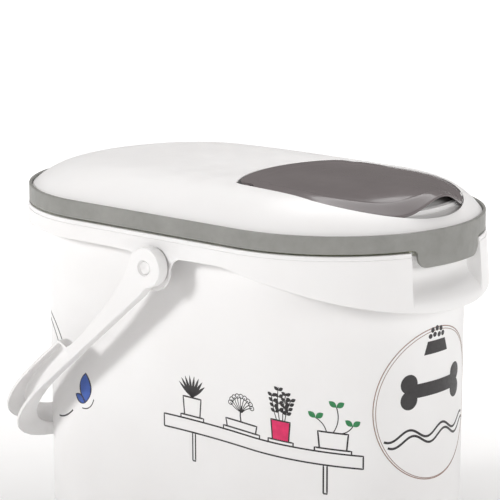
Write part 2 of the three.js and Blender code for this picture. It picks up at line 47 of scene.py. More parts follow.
# ---- dimensions shared with the CAD ----
SPINE = 100.0
RIM_Z = float(PIVOTS["lid_hinge"][2])
GAP = 0.3
BUCKET_R, BUCKET_BASE_R, BUCKET_WALL, FOOT_ROUND = 122.0, 118.5, 2.5, 14.0
WALL_TOP = -8.0
LIP_R, LIP_TOP, LIP_UNDER = 129.5, 6.0, 3.5
RIM_R, RIM_TOP, RIM_WALL = 140.0, 16.8, 2.8
LEDGE_R, LEDGE_LOW, LEDGE_TOP = 129.0, 8.2, 10.4
TAB_HALF, TAB_DROP, TAB_ROUND, TAB_ROOT = 44.0, 17.0, 10.0, 5.0
COLLAR_TOP, COLLAR_R, COLLAR_STEP, COLLAR_WALL = -1.6, 140.4, 0.5, 2.6
BAND_LOW, HOOK_LOW = -5.9, -7.0
SKIRT_SIDE, SKIRT_FRONT, SKIRT_FLARE = -20.0, -58.5, 3.4
SKIRT_DIP_FROM, SKIRT_DIP_POWER, SKIRT_SWELL = 80.0, 1.3, 2.4
NOTCH, NOTCH_DEEP, NOTCH_DEEPER = (-51.0, 46.0), 9.2, 4.3
NOTCH_RUN_OUT, NOTCH_BACK = -51.0, -27.0
PIVOT_X = float(PIVOTS["handle_swing"][0])
PIVOT_Z = float(PIVOTS["handle_swing"][2]) - RIM_Z
LUG_HALF, LUG_Z, LUG_FILLET = 19.5, -34.0, 14.0
LUG_FACE, LUG_INSIDE, LUG_BOSS_R = 144.5, 137.0, 13.0
HANDLE_IN, HANDLE_OUT, HANDLE_TILT = 144.8, 156.8, math.radians(40.1)
HANDLE_LOW, HANDLE_HIGH, ARM_NECK = -16.7, 7.3, -5.7
GRIP_FROM, GRIP_ROUND, GRIP_SKIN = 134.0, 8.0, 3.2
ARCH_IN, ARCH_OUT = (160.0, 309.0), (178.0, 335.0)
EYE_R, PIN_R, PIN_HEAD_R, PIN_HEAD, PIN_FLANGE = 19.0, 4.0, 6.0, 4.0, 2.6
DOME_R, DOME_EDGE, DOME_RISE, DOME_POWER, DOME_FALL = 137.0, 13.8, 30.8, 6, 0.06
SHELL, RECESS, TRAY, PLUG_LOW = 3.0, 4.6, 7.4, -2.0
MOUTH_FRONT, MOUTH_FRONT_R, MOUTH_HALF = 141.0, 86.5, 80.0
MOUTH_REAR, MOUTH_REAR_R = 24.5, 140.0
MOUTH_CENTRE = np.array([118.0, 0.0])
SPOUT_REAR, SPOUT_FRONT, SPOUT_HALF, SPOUT_ROUND = 50.0, 186.0, 66.0, 30.0
FLAP_X = float(PIVOTS["flap_hinge"][0])
FLAP_Z = float(PIVOTS["flap_hinge"][2]) - RIM_Z
FLAP_RISE, FLAP_THICK, FLAP_PLAY, FLAP_TOP, WAVE_HALF = 7.4, 2.4, 1.0, 45.2, 54.0
POCKET_R, POCKET_END, EAR_R = 34.8, 9.0, 5.0
EAR_IN, EAR_OUT, FLAP_PIN_IN, FLAP_PIN_OUT = 71.0, 77.6, 71.6, 85.0
HINGE_X, HINGE_R, HINGE_PIN_R = float(PIVOTS["lid_hinge"][0]), 5.0, 2.5
KNUCKLE_SPLIT, KNUCKLE_END = 13.7, 26.3
COLLAR_WEB, RIM_WEB = (-HINGE_R, -2.6), (1.0, HINGE_R)

# ---- details that only the finished look has ----
BASE_INSET = 24.0  # where the base's flat middle begins, inside the wall
NOTCH_CORNER = 1.5  # width of the rounding at the notch's ends
BORDER, BORDER_FALL, PANEL_SUNK = 14.0, 1.2, 0.5  # sloping border and shallow panel of the flap
CORNER_CUT, CORNER_REACH = 8.0, 9.0  # rounding of the flap's rear corners
LEAVE_TOP, LEAVE_LOW = math.radians(60), math.radians(52)  # where the arm's faces leave the eye
ARM_END = 146.0  # distance from the pivot where the arch's taper begins
PIN_DISH = 2.6  # depth of the dish in the handle pins' heads


# ---- points, rings and surfaces ----
def smooth(start, end, value):
    t = np.clip((value - start) / (end - start), 0.0, 1.0)
    return t * t * (3.0 - 2.0 * t)


class Outline:
    """Stations round the spine, each with its outward direction, anticlockwise."""

    def __init__(self, extra_x=(), extra_angles=(), arc=72, straight=20):
        along = np.unique(np.round(np.append(np.linspace(-SPINE, SPINE, straight + 1), extra_x), 4))
        ends = np.unique(np.round(np.append(np.linspace(-90.0, 90.0, arc + 1), extra_angles), 4))
        front = np.radians(ends[1:-1])
        rear = np.radians(np.linspace(90.0, 270.0, arc + 1)[1:-1])
        flat = np.zeros(len(along))
        self.x = np.concatenate([along, 0 * front + SPINE, along[::-1], 0 * rear - SPINE])
        self.nx = np.concatenate([flat, np.cos(front), flat, np.cos(rear)])
        self.ny = np.concatenate([flat - 1, np.sin(front), flat + 1, np.sin(rear)])

    def ring(self, r, z):
        zero = 0.0 * self.x
        return np.column_stack([self.x + self.nx * r, self.ny * r + zero, RIM_Z + z + zero])

    def sweep(self, section, wrap=True):
        return skin([self.ring(r, z) for r, z in section], wrap)


def rounded(corners, steps=4, closed=True):
    """Rounds the corners of a section. A corner is (r, z, radius); r and z may be arrays."""
    count = max(np.size(value) for corner in corners for value in corner[:2])
    points = [np.array([np.zeros(count) + r, np.zeros(count) + z]) for r, z, _ in corners]
    section = []
    for i, (_, _, radius) in enumerate(corners):
        here = points[i]
        if radius == 0 or (not closed and i in (0, len(corners) - 1)):
            section.append(here)
            continue
        into = points[i - 1] - here
        out = points[(i + 1) % len(points)] - here
        into_length = np.maximum(np.hypot(*into), 1e-6)
        out_length = np.maximum(np.hypot(*out), 1e-6)
        reach = np.minimum(radius, 0.45 * np.minimum(into_length, out_length))
        start = here + into * reach / into_length
        end = here + out * reach / out_length
        for t in np.linspace(0.0, 1.0, steps + 1):
            section.append(start * (1 - t) ** 2 + here * 2 * t * (1 - t) + end * t * t)
    return section


def skin(rings, wrap=False):
    """Joins rings of one length into a closed surface, capped unless it wraps round."""
    count = len(rings[0])
    points = np.concatenate(rings)
    index = np.arange(count)
    beside = (index + 1) % count
    faces = []
    for k in range(len(rings) if wrap else len(rings) - 1):
        here, above = k * count, ((k + 1) % len(rings)) * count
        faces += np.column_stack([here + index, here + beside, above + beside, above + index]).tolist()
    if not wrap:
        middles = np.array([rings[0].mean(axis=0), rings[-1].mean(axis=0)])
        last = (len(rings) - 1) * count
        faces += np.column_stack([index * 0 + len(points), beside, index]).tolist()
        faces += np.column_stack([index * 0 + len(points) + 1, last + index, last + beside]).tolist()
        points = np.concatenate([points, middles])
    return facing_out(points, faces)


def facing_out(points, faces):
    """Turns a closed surface's faces outward."""
    volume = 0.0
    for face in faces:
        a = points[face[0]]
        for b, c in zip(face[1:-1], face[2:]):
            volume += np.dot(a, np.cross(points[b], points[c]))
    if volume < 0:
        faces = [face[::-1] for face in faces]
    return points, faces


def turned(profile, axis_at, start, end, sides=64):
    """A solid turned about a line along Y. The profile holds (radius, share of the length)."""
    angles = np.linspace(0.0, 2 * math.pi, sides, endpoint=False)
    rings = []
    for radius, share in profile:
        y = start + (end - start) * share
        x = axis_at[0] + radius * np.cos(angles)
        z = RIM_Z + axis_at[1] + radius * np.sin(angles)
        rings.append(np.column_stack([x, 0 * angles + y, z]))
    return skin(rings)


def rod(radius, axis_at, start, end, bevel=0.0, sides=64):
    """A cylinder along Y with bevelled ends."""
    share = bevel / abs(end - start)
    profile = [(radius - bevel, 0.0), (radius, share), (radius, 1 - share), (radius - bevel, 1.0)]
    return turned(profile if bevel else [(radius, 0.0), (radius, 1.0)], axis_at, start, end, sides)


def block(x, y, z):
    corners = [np.array([[x[0], y[0], h], [x[1], y[0], h], [x[1], y[1], h], [x[0], y[1], h]]) for h in z]
    return skin([corner + [0, 0, RIM_Z] for corner in corners])


# ---- solids and pieces ----
def solid(surface, name="solid"):
    points, faces = surface
    mesh = bpy.data.meshes.new(name)
    mesh.from_pydata((np.asarray(points) * MM).tolist(), [], faces)
    made = bpy.data.objects.new(name, mesh)
    bpy.context.scene.collection.objects.link(made)
    return made


def combine(base, other, operation):
    """Joins or cuts two closed solids; the second one is used up."""
    modifier = base.modifiers.new("combine", "BOOLEAN")
    modifier.operation = operation
    modifier.solver = "MANIFOLD"
    modifier.object = other
    evaluated = base.evaluated_get(bpy.context.evaluated_depsgraph_get())
    result = bpy.data.meshes.new_from_object(evaluated)
    base.modifiers.clear()
    base.data = result
    bpy.data.objects.remove(other)
    return base


def union(base, *surfaces):
    for surface in surfaces:
        combine(base, surface if isinstance(surface, bpy.types.Object) else solid(surface), "UNION")
    return base


def cut(base, *surfaces):
    for surface in surfaces:
        combine(base, surface if isinstance(surface, bpy.types.Object) else solid(surface), "DIFFERENCE")
    return base


def new_piece(made, name, material, body, nodes=(), crease=38):
    """Names a solid, shades it, and lets it ride on a body in place of its CAD nodes."""
    made.name = name
    made.data.name = name
    made.data.materials.clear()
    made.data.materials.append(material)
    made.data.polygons.foreach_set("use_smooth", [True] * len(made.data.polygons))
    made.data.set_sharp_from_angle(angle=math.radians(crease))
    even = made.modifiers.new("even shading", "WEIGHTED_NORMAL")
    even.keep_sharp = True
    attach(made, body)
    if nodes:
        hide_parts(*nodes)
    return made


# ---- materials ----
class Nodes:
    """A material's node tree, with short calls for the nodes used here."""

    def __init__(self, name):
        self.material = bpy.data.materials.new(name)
        self.material.use_nodes = True
        self.tree = self.material.node_tree
        self.shader = self.tree.nodes["Principled BSDF"]
        self.place = self.tree.nodes.new("ShaderNodeTexCoord").outputs["Object"]

    def link(self, output, target):
        self.tree.links.new(output, target)

    def noise(self, scale, detail=3.0, roughness=0.5, stretch=None):
        node = self.tree.nodes.new("ShaderNodeTexNoise")
        node.inputs["Scale"].default_value = scale
        node.inputs["Detail"].default_value = detail
        node.inputs["Roughness"].default_value = roughness
        place = self.place
        if stretch:
            mapping = self.tree.nodes.new("ShaderNodeMapping")
            mapping.inputs["Scale"].default_value = stretch
            self.link(place, mapping.inputs["Vector"])
            place = mapping.outputs["Vector"]
        self.link(place, node.inputs["Vector"])
        return node.outputs["Fac"]

    def spread(self, source, low, high):
        """Maps a noise's usual span onto low to high."""
        node = self.tree.nodes.new("ShaderNodeMapRange")
        node.inputs["From Min"].default_value = 0.3
        node.inputs["From Max"].default_value = 0.7
        node.inputs["To Min"].default_value = low
        node.inputs["To Max"].default_value = high
        self.link(source, node.inputs["Value"])
        return node.outputs["Result"]

    def colours(self, source, dark, light):
        node = self.tree.nodes.new("ShaderNodeValToRGB")
        node.color_ramp.elements[0].position = 0.32
        node.color_ramp.elements[1].position = 0.68
        node.color_ramp.elements[0].color = (*dark, 1.0)
        node.color_ramp.elements[1].color = (*light, 1.0)
        self.link(source, node.inputs["Fac"])
        self.link(node.outputs["Color"], self.shader.inputs["Base Color"])

    def roughness(self, source, low, high):
        self.link(self.spread(source, low, high), self.shader.inputs["Roughness"])

    def bumps(self, *layers):
        """Stacks bump layers, each (noise, height in millimetres)."""
        normal = None
        for source, height in layers:
            node = self.tree.nodes.new("ShaderNodeBump")
            node.inputs["Distance"].default_value = height * MM
            self.link(source, node.inputs["Height"])
            if normal:
                self.link(normal, node.inputs["Normal"])
            normal = node.outputs["Normal"]
        self.link(normal, self.shader.inputs["Normal"])


def white_plastic():
    """Injection-moulded white polypropylene: satin, with a fine grain and slow flow marks."""
    made = Nodes("white plastic")
    clouds = made.noise(9.0, 4.0)
    made.colours(clouds, (0.81, 0.8, 0.795), (0.84, 0.834, 0.83))
    made.roughness(made.noise(60.0, 5.0), 0.34, 0.44)
    made.bumps((made.noise(2600.0, 2.0), 0.012), (made.noise(14.0, 2.0), 0.08))
    made.shader.inputs["Specular IOR Level"].default_value = 0.42
    made.shader.inputs["Subsurface Weight"].default_value = 0.06
    made.shader.inputs["Subsurface Radius"].default_value = (0.004, 0.0037, 0.0034)
    return made.material


def grey_plastic():
    """Grey rim with a mottled satin face and a fine spark-eroded grain."""
    made = Nodes("grey plastic")
    mottle = made.noise(38.0, 6.0, 0.62)
    made.colours(mottle, (0.215, 0.215, 0.2), (0.27, 0.268, 0.252))
    made.roughness(made.noise(120.0, 4.0), 0.4, 0.52)
    made.bumps((made.noise(2200.0, 3.0), 0.03), (made.noise(24.0, 3.0), 0.1))
    return made.material


def smoke_plastic():
    """Smoked glossy flap: taupe with a faint cloudiness and fine wiping marks."""
    made = Nodes("smoke plastic")
    made.colours(made.noise(12.0, 3.0), (0.15, 0.133, 0.134), (0.175, 0.156, 0.157))
    made.roughness(made.noise(90.0, 5.0), 0.15, 0.24)
    made.bumps((made.noise(40.0, 2.0, 0.5, (1.0, 8.0, 1.0)), 0.03))
    made.shader.inputs["Specular IOR Level"].default_value = 0.16
    made.shader.inputs["Coat Weight"].default_value = 0.05
    made.shader.inputs["Coat Roughness"].default_value = 0.06
    return made.material


def olive_seal():
    """Soft olive seal, matt with a powdery bloom."""
    made = Nodes("olive seal")
    made.colours(made.noise(70.0, 5.0), (0.17, 0.2, 0.035), (0.24, 0.28, 0.06))
    made.roughness(made.noise(200.0, 3.0), 0.65, 0.8)
    made.bumps((made.noise(900.0, 3.0), 0.05))
    return made.material


def steel():
    """Drawn steel pins with fine marks along their length."""
    made = Nodes("steel")
    made.colours(made.noise(300.0, 4.0), (0.5, 0.5, 0.51), (0.62, 0.62, 0.63))
    made.roughness(made.noise(150.0, 5.0, 0.6, (8.0, 0.5, 8.0)), 0.25, 0.4)
    made.bumps((made.noise(500.0, 2.0, 0.5, (6.0, 0.3, 6.0)), 0.02))
    made.shader.inputs["Metallic"].default_value = 1.0
    return made.material


def ink(name, colour):
    """Screen-printed ink: even, with a slight unevenness in its film."""
    made = Nodes("ink " + name)
    dark = tuple(0.9 * value for value in colour)
    light = tuple(min(1.0, 1.1 * value + 0.004) for value in colour)
    made.colours(made.noise(160.0, 4.0), dark, light)
    made.roughness(made.noise(300.0, 3.0), 0.38, 0.5)
    made.bumps((made.noise(1500.0, 3.0), 0.02))
    return made.material


WHITE, GREY, SMOKE = white_plastic(), grey_plastic(), smoke_plastic()
OLIVE, STEEL = olive_seal(), steel()
INKS = {
    "dark": ink("dark", (0.019, 0.016, 0.017)),
    "magenta": ink("magenta", (0.66, 0.012, 0.11)),
    "blue": ink("blue", (0.035, 0.1, 0.42)),
    "green": ink("green", (0.02, 0.2, 0.065)),
    "brown": ink("brown", (0.3, 0.2, 0.165)),
}


# ---- bucket ----
def bucket():
    floor = -RIM_Z
    inside = -BUCKET_WALL
    profile = rounded([
        (BUCKET_BASE_R - BASE_INSET, floor, 0),
        (BUCKET_BASE_R, floor, FOOT_ROUND),
        (BUCKET_R, WALL_TOP, 0),
        (BUCKET_R, LIP_UNDER, 0.8),
        (LIP_R, LIP_UNDER, 0.6),
        (LIP_R, LIP_TOP, 0.9),
        (BUCKET_R + inside, LIP_TOP, 0.9),
        (BUCKET_R + inside, WALL_TOP, 0),
        (BUCKET_BASE_R + inside, floor + BUCKET_WALL, FOOT_ROUND + inside),
        (BUCKET_BASE_R - BASE_INSET, floor + BUCKET_WALL, 0),
    ], steps=8, closed=False)
    made = solid(Outline().sweep(profile, wrap=False))
    return new_piece(made, "bucket_moulding", WHITE, "bin", ["bucket"])


# ---- collar ----
def skirt_edge(s):
    """Lower edge of the skirt: dips at the front and drops round each lug."""
    x = s.x + s.nx * COLLAR_R
    share = np.clip((x - SKIRT_DIP_FROM) / (SPINE + COLLAR_R - SKIRT_DIP_FROM), 0, 1)
    edge = SKIRT_SIDE + (SKIRT_FRONT - SKIRT_SIDE) * share ** SKIRT_DIP_POWER
    away = np.abs(x - PIVOT_X)
    side = s.nx == 0
    in_lug = side & (away <= LUG_HALF)
    in_fillet = side & (away > LUG_HALF) & (away < LUG_HALF + LUG_FILLET)
    round_end = LUG_Z - np.sqrt(np.clip(LUG_HALF ** 2 - away ** 2, 0, None))
    hollow = LUG_Z + np.sqrt(np.clip(LUG_FILLET ** 2 - (LUG_HALF + LUG_FILLET - away) ** 2, 0, None))
    return np.where(in_lug, round_end, np.where(in_fillet, hollow, edge))


def skirt_radius(s, z):
    x = s.x + s.nx * COLLAR_R
    front = smooth(SKIRT_DIP_FROM - 40, SPINE + COLLAR_R, x)
    down = np.minimum(1.0, (COLLAR_TOP - z) / (COLLAR_TOP - SKIRT_FRONT))
    step = np.where(z > BAND_LOW + 0.1, 0.0, COLLAR_STEP)
    near_lug = np.where(s.nx == 0, smooth(60, 25, np.abs(x - PIVOT_X)), 0)
    swell = SKIRT_SWELL * near_lug * smooth(BAND_LOW, SKIRT_SIDE, z)
    across = s.ny * COLLAR_R
    right_end = smooth(NOTCH[0], NOTCH[0] + NOTCH_CORNER, across)
    left_end = smooth(NOTCH[1], NOTCH[1] - NOTCH_CORNER, across)
    deep = NOTCH_DEEP + NOTCH_DEEPER * smooth(HOOK_LOW, 2 * HOOK_LOW, z)
    notch = np.where(s.nx > 0, right_end * left_end, 0) * deep * smooth(NOTCH_RUN_OUT, NOTCH_BACK, z)
    return COLLAR_R + step + down * (1 + SKIRT_FLARE * front) + swell - notch


def collar_section(s):
    edge = skirt_edge(s)
    on_bucket, on_lip, under_lip = BUCKET_R + 0.4, LIP_R + GAP, LIP_UNDER - GAP
    hook_top = HOOK_LOW + COLLAR_WALL - 0.4
    heights = [BAND_LOW + 0.5] + [BAND_LOW + (edge - BAND_LOW) * t for t in np.linspace(0, 0.93, 15)]
    outer = [(skirt_radius(s, z), z, 0) for z in heights]
    inner_heights = [np.maximum(-30.0, edge + 0.8), np.maximum(-16.0, edge + 1.6)]
    inner = [(skirt_radius(s, z) - COLLAR_WALL, z, 0) for z in inner_heights]
    return rounded([
        (on_bucket, HOOK_LOW, 0.3),
        (on_bucket, under_lip, 0),
        (on_lip, under_lip, 0),
        (on_lip, COLLAR_TOP, 0.3),
        (skirt_radius(s, COLLAR_TOP), COLLAR_TOP, 1.0),
        *outer,
        (skirt_radius(s, edge), edge, 1.1),
        (skirt_radius(s, edge) - COLLAR_WALL, edge, 0.8),
        *inner,
        (skirt_radius(s, hook_top) - COLLAR_WALL, hook_top, 0.5),
        (BUCKET_R + 3, hook_top, 0.5),
        (BUCKET_R + 3, HOOK_LOW, 0.3),
    ], steps=3)


def collar():
    steps = LUG_HALF * np.sin(np.radians(np.linspace(0, 90, 16)))
    fillet = LUG_HALF + LUG_FILLET * (1 - np.cos(np.radians(np.linspace(5, 90, 12))))
    reach = np.concatenate([steps, fillet])
    extra_x = np.concatenate([PIVOT_X - reach, PIVOT_X + reach])
    step = np.linspace(0, NOTCH_CORNER + 0.2, 9)
    notch = np.degrees(np.arcsin(np.concatenate([NOTCH[0] + step, NOTCH[1] - step]) / COLLAR_R))
    s = Outline(extra_x, notch, arc=96, straight=30)
    made = solid(s.sweep(collar_section(s)))
    for side in (-1, 1):
        at = (PIVOT_X, PIVOT_Z)
        union(made, rod(LUG_BOSS_R, at, side * LUG_INSIDE, side * LUG_FACE, 0.6))
        cut(made, rod(PIN_R + GAP, at, side * 130, side * 150))
    hinge_half(made, [(-KNUCKLE_SPLIT, KNUCKLE_SPLIT)], COLLAR_WEB, outer_knuckles())
    return new_piece(made, "collar_moulding", WHITE, "bin", ["collar"])


def outer_knuckles():
    return [(-KNUCKLE_END, -KNUCKLE_SPLIT), (KNUCKLE_SPLIT, KNUCKLE_END)]


def hinge_half(made, knuckles, web, clear):
    """Adds knuckles and webs on the hinge line and leaves room for the other half."""
    web_to = -SPINE - RIM_R + RIM_WALL + 0.4
    at = (HINGE_X, 0.0)
    for start, end in clear:
        cut(made, rod(HINGE_R + 2 * GAP, at, start - GAP, end + GAP))
    for start, end in knuckles:
        union(made, rod(HINGE_R, at, start + GAP, end - GAP, 0.5))
        union(made, block((HINGE_X, web_to), (start + GAP, end - GAP), web))
    return cut(made, rod(HINGE_PIN_R + GAP, at, -40, 40))


# ---- lid rim and seal ----
def rim_edge(s):
    """Lower edge of the rim, dropping at the front into a tab with round corners."""
    away = np.where(s.nx > 0, np.abs(s.ny * RIM_R), 2 * TAB_HALF)
    straight, root = TAB_HALF - TAB_ROUND, TAB_HALF + TAB_ROOT
    corner = TAB_ROUND - TAB_DROP - np.sqrt(np.clip(TAB_ROUND ** 2 - (away - straight) ** 2, 0, None))
    hollow = np.sqrt(np.clip(TAB_ROOT ** 2 - (root - away) ** 2, 0, None)) - TAB_ROOT
    outer = np.where(away < TAB_HALF, corner, np.where(away < root, hollow, 0.0))
    return np.where(away <= straight, -TAB_DROP, outer)


def lid_rim():
    turn = np.sin(np.radians(np.linspace(0, 89, 14)))
    offsets = np.concatenate([TAB_HALF - TAB_ROUND * (1 - turn), TAB_HALF + TAB_ROOT * (1 - turn)])
    angles = np.degrees(np.arcsin(offsets / RIM_R))
    s = Outline((), np.concatenate([-angles, angles]), arc=96)
    inside = RIM_R - RIM_WALL
    edge = rim_edge(s)
    section = rounded([
        (inside, edge, 0.6),
        (RIM_R, edge, 1.1),
        (RIM_R, RIM_TOP - 3, 0),
        (RIM_R, RIM_TOP, 1.5),
        (inside + GAP, RIM_TOP, 0.4),
        (inside + GAP, LEDGE_TOP, 0),
        (LEDGE_R, LEDGE_TOP, 0.5),
        (LEDGE_R, LEDGE_LOW, 0.5),
        (inside, LEDGE_LOW, 0),
    ], steps=4)
    made = solid(s.sweep(section))
    hinge_half(made, outer_knuckles(), RIM_WEB, [(-KNUCKLE_SPLIT, KNUCKLE_SPLIT)])
    return new_piece(made, "rim_moulding", GREY, "lid", ["lid_rim"])


def lid_seal():
    top, low = LEDGE_LOW - GAP, COLLAR_TOP + 0.4
    inside, outside = LIP_R + 1.9, RIM_R - RIM_WALL - 0.6
    corners = [(inside, top, 0.5), (inside, low, 1.8), (outside, low, 1.8), (outside, top, 0.5)]
    made = solid(Outline().sweep(rounded(corners, steps=5)))
    return new_piece(made, "seal_strip", OLIVE, "lid", ["lid_seal"])


# ---- lid shell ----
def dome(x, y):
    share = np.hypot(np.maximum(np.abs(x) - SPINE, 0), y) / DOME_R
    crown = DOME_RISE * (1 - DOME_FALL * np.maximum(0, -x / SPINE) ** 2)
    return DOME_EDGE + crown * (1 - np.minimum(share, 1) ** DOME_POWER)


def rear_of_mouth(y, rear=MOUTH_REAR):
    return rear + MOUTH_REAR_R - np.sqrt(MOUTH_REAR_R ** 2 - y ** 2)


def mouth_outline(grow, front_steps=150, side_steps=24, rear_steps=90):
    """Plan of the flap's recess grown by a margin: round front, straight sides, shallow rear arc."""
    radius, half, rear = MOUTH_FRONT_R + grow, MOUTH_HALF + grow, MOUTH_REAR - grow
    lean = math.asin((radius - half) / (MOUTH_FRONT - FLAP_X))
    turn = math.pi / 2 - lean / 2
    angles = np.linspace(-turn, turn, front_steps)
    front = np.column_stack([MOUTH_FRONT + radius * np.cos(angles), radius * np.sin(angles)])
    t = np.linspace(0, 1, side_steps + 1)[1:, None]
    side = front[-1] * (1 - t) + np.array([FLAP_X, half]) * t
    y = np.linspace(half, -half, rear_steps)
    arc = np.column_stack([rear_of_mouth(y, rear), y])
    return np.concatenate([front, side, arc[1:-1], (side * [1, -1])[::-1]])


def flap_outline():
    """The flap's plan, drawn in at the rear so that its raised edge clears the pocket."""
    outline = mouth_outline(-FLAP_PLAY)
    x, y = outline.T
    reach = np.sqrt(np.clip((FLAP_X - rear_of_mouth(y)) ** 2 - FLAP_RISE ** 2, 0, None))
    drawn_in = np.where(x < FLAP_X, FLAP_X - reach + FLAP_PLAY / 2, x)
    outline = np.column_stack([drawn_in, y])
    from_corner = np.hypot(outline[:, 0] - FLAP_X, np.abs(y) - MOUTH_HALF + FLAP_PLAY)
    inward = MOUTH_CENTRE - outline
    pull = CORNER_CUT * np.exp(-(from_corner / CORNER_REACH) ** 2) / np.hypot(*inward.T)
    return outline + inward * pull[:, None]


class Rays:
    """Directions from the mouth's centre, with the distance to an outline round it."""

    def __init__(self, outline):
        offsets = outline - MOUTH_CENTRE
        self.reach = np.hypot(*offsets.T)
        self.way = offsets / self.reach[:, None]

    def to_outline(self, r):
        """Distance along each ray to the oblong outline of radius r."""
        near, far = self.reach * 0.2, np.full(len(self.reach), 500.0)
        for _ in range(40):
            middle = (near + far) / 2
            at = MOUTH_CENTRE + self.way * middle[:, None]
            inside = np.hypot(np.maximum(np.abs(at[:, 0]) - SPINE, 0), at[:, 1]) < r
            near, far = np.where(inside, middle, near), np.where(inside, far, middle)
        return near

    def ring(self, distance, height):
        at = MOUTH_CENTRE + self.way * distance[:, None]
        return np.column_stack([at, RIM_Z + height(at[:, 0], at[:, 1])])


def below(depth, surface=dome):
    return lambda x, y: surface(x, y) - depth


def level(z):
    return lambda x, y: 0 * x + z


def turn_points(start, corner, end, steps=5):
    """Distance and depth along a rounded corner of the lid's section."""
    return [
        tuple(a * (1 - t) ** 2 + b * 2 * t * (1 - t) + c * t * t for a, b, c in zip(start, corner, end))
        for t in np.linspace(0, 1, steps)
    ]


def shell_plate():
    """The domed plate with the flap's recess pressed into it."""
    rays = Rays(mouth_outline(0.0))
    mouth, edge = rays.reach, rays.to_outline(DOME_R)
    width = edge - mouth
    section = [(mouth * t, RECESS) for t in (0.08, 0.3, 0.5, 0.7, 0.85)]
    section += turn_points((mouth - 1.5, RECESS), (mouth, RECESS), (mouth, RECESS - 1.5))
    section += turn_points((mouth, 1.1), (mouth, 0.0), (mouth + 1.1, 0.0))
    graded = 1 - (1 - np.linspace(0.04, 1, 40)) ** 1.7
    section += [(mouth + 1.1 + (width - 2.2) * t, 0.0) for t in graded]
    section += turn_points((edge - 0.8, 0.0), (edge, 0.0), (edge, 0.9))
    tray = mouth + SHELL + 0.2
    section += [(tray + (edge - tray) * t, SHELL) for t in graded[::-2]]
    section += [(tray, SHELL), (tray, TRAY)]
    section += [(mouth * t, TRAY) for t in (0.85, 0.6, 0.3, 0.08)]
    return skin([rays.ring(distance, below(depth)) for distance, depth in section])


def prism(outline, low, high):
    return skin([np.column_stack([outline, np.full(len(outline), RIM_Z + z)]) for z in (low, high)])


def spout():
    """Plan of the pouring mouth, square at the rear and round at the front."""
    centre_x, centre_y = SPOUT_FRONT - SPOUT_ROUND, SPOUT_HALF - SPOUT_ROUND
    angles = np.radians(np.linspace(0, 90, 24))
    x, y = centre_x + SPOUT_ROUND * np.cos(angles), centre_y + SPOUT_ROUND * np.sin(angles)
    front = np.concatenate([np.column_stack([x, -y])[::-1], np.column_stack([x, y])])
    return np.concatenate([front, [[SPOUT_REAR, SPOUT_HALF], [SPOUT_REAR, -SPOUT_HALF]]])


def drum(radius, half):
    """The part of a drum round the flap's axis that the pocket takes up."""
    made = solid(rod(radius, (FLAP_X, FLAP_Z), -half, half, sides=160))
    combine(made, solid(block((0, FLAP_X + POCKET_END), (-100, 100), (-20, 90))), "INTERSECT")
    return made


def pocket(radius, grow, top, bottom):
    rays = Rays(mouth_outline(grow))
    rings = [rays.ring(rays.reach * t, top) for t in (0.3, 0.6, 0.85, 1.0)]
    rings += [rays.ring(rays.reach * t, bottom) for t in (1.0, 0.6, 0.3)]
    made = drum(radius, 90)
    return combine(made, solid(skin(rings)), "INTERSECT")


def plug_rib():
    """The rib under the dome that plugs the bucket's mouth."""
    s = Outline()
    outside, inside = BUCKET_R - BUCKET_WALL - 1.2, BUCKET_R - BUCKET_WALL - 3.5

    def up_in_dome(r):
        at = s.ring(r, 0.0)
        return np.column_stack([at[:, :2], RIM_Z + dome(at[:, 0], at[:, 1]) - SHELL / 2])

    lip = [(inside, 8, 0), (inside, PLUG_LOW, 0.8), (outside, PLUG_LOW, 0.8), (outside, 8, 0)]
    lower = [s.ring(r, z) for r, z in rounded(lip, steps=3, closed=False)]
    rings = [up_in_dome(inside), *lower, up_in_dome(outside)]
    return skin(rings, wrap=True)


def lid_shell():
    made = solid(shell_plate())
    union(made, plug_rib(), pocket(POCKET_R + SHELL, SHELL, below(SHELL / 2), level(-20)))
    cut(made, pocket(POCKET_R, 0.0, level(80), level(-30)), prism(spout(), -40, 70))
    for side in (-1, 1):
        cut(made, rod(HINGE_PIN_R + GAP, (FLAP_X, FLAP_Z), side * 70, side * 86))
    return new_piece(made, "dome_moulding", WHITE, "lid", ["lid_shell"], crease=30)


# ---- flap ----
def flap_top(x, y):
    base = dome(x, y)
    wave = np.where(np.abs(y) < WAVE_HALF, np.cos(math.pi / 2 * y / WAVE_HALF) ** 2, 0)
    return base + (FLAP_TOP - base) * wave * smooth(FLAP_X, MOUTH_FRONT, x)


def flap_relief(rays, distance):
    """How far the flap's face lies below its ridge: a shallow panel inside a sloping border."""
    inward = rays.reach - distance
    forward = smooth(-0.5, 0.0, rays.way[:, 0])
    panel = PANEL_SUNK * smooth(BORDER, BORDER + 2.5, inward)
    slope = BORDER_FALL * forward * smooth(BORDER, 2, inward)
    return panel + slope


def flap():
    rays = Rays(flap_outline())
    edge = rays.reach
    section = [(edge * t, 0.0) for t in np.linspace(0.06, 0.97, 80)]
    section += turn_points((edge - 1.0, 0.0), (edge, 0.0), (edge, 0.9))
    section += turn_points((edge, FLAP_THICK - 0.5), (edge, FLAP_THICK), (edge - 0.5, FLAP_THICK))
    section += [(edge * t, FLAP_THICK) for t in np.linspace(0.97, 0.06, 24)]
    rings = []
    for distance, depth in section:
        sunk = depth + flap_relief(rays, distance)
        rings.append(rays.ring(distance, below(sunk, flap_top)))
    made = solid(skin(rings))
    at = (FLAP_X, FLAP_Z)
    for side in (-1, 1):
        union(made, rod(EAR_R, at, side * EAR_IN, side * EAR_OUT, 0.4))
        cut(made, rod(HINGE_PIN_R + GAP, at, side * 60, side * 90))
    return new_piece(made, "flap_moulding", SMOKE, "flap", ["flap"])


